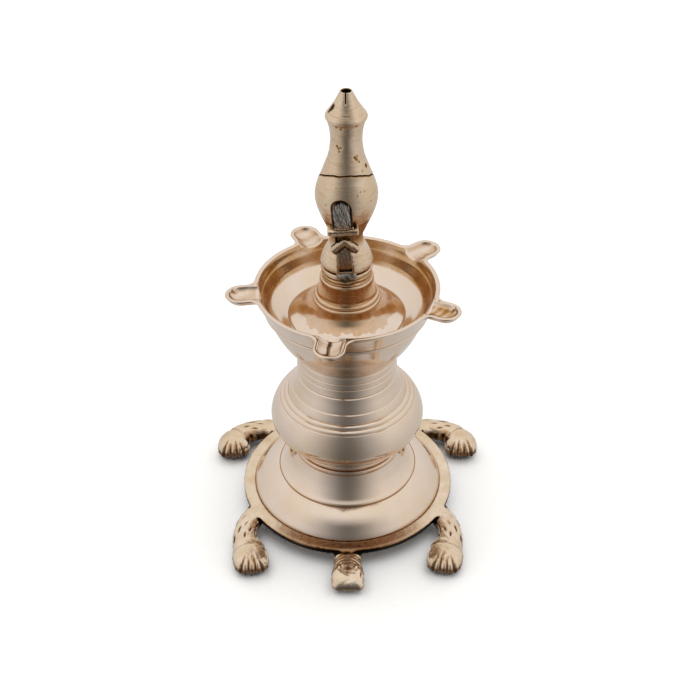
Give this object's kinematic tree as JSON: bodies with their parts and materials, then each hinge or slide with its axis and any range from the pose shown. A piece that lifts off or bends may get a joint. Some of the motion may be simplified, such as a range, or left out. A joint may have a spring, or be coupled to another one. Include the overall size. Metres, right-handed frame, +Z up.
{
  "type": "standing oil lamp",
  "caption": "Turned brass standing oil lamp on a tortoise foot, with a vase stem, a lipped wick dish and a screwed-in oil reservoir with spout and cap.",
  "frame": {"origin": "on the floor under the lamp's axis, the middle of the bounding box's bottom face", "axes": "+Z up along the lamp's axis; the tortoise's head points along -Y; +X is to the right of someone facing the head"},
  "size_m": [0.1304, 0.136, 0.2145],
  "materials": {
    "brass_polished": "turned and polished",
    "brass_cast": "hand-finished casting, dark in the crevices",
    "brass_brushed": "lathe-brushed with small casting pits",
    "solder": "dull grey soft solder"
  },
  "bodies": {
    "base": {"tortoise_plate": "brass_cast", "shell_dome": "brass_polished"},
    "stem": {"vase_body": "brass_polished"},
    "dish": {"oil_dish": "brass_polished", "collar_cone": "brass_polished"},
    "plug": {"reservoir_plug": "brass_polished"},
    "reservoir": {"reservoir_bowl": "brass_brushed", "feed_spout": "brass_cast", "spout_solder": "solder"},
    "cap": {"reservoir_cap": "brass_brushed"}
  },
  "joints": [
    {"name": "vase_lift", "type": "slide", "parent": "base", "child": "stem", "axis": [0, 0, 1], "range_m": [0, 0.03]},
    {"name": "dish_lift", "type": "slide", "parent": "stem", "child": "dish", "axis": [0, 0, 1], "range_m": [0, 0.03]},
    {"name": "reservoir_rise", "type": "slide", "parent": "dish", "child": "plug", "axis": [0, 0, 1], "range_m": [0, 0.01]},
    {"name": "reservoir_turn", "type": "hinge", "parent": "plug", "child": "reservoir", "pos_m": [0, 0, 0.1326], "axis": [0, 0, 1], "range_deg": [0, 1440]},
    {"name": "cap_lift", "type": "slide", "parent": "reservoir", "child": "cap", "axis": [0, 0, 1], "range_m": [0, 0.03]}
  ],
  "couplings": [
    {"joint": "reservoir_rise", "follows": "reservoir_turn", "m_per_rad": 0.000397}
  ]
}
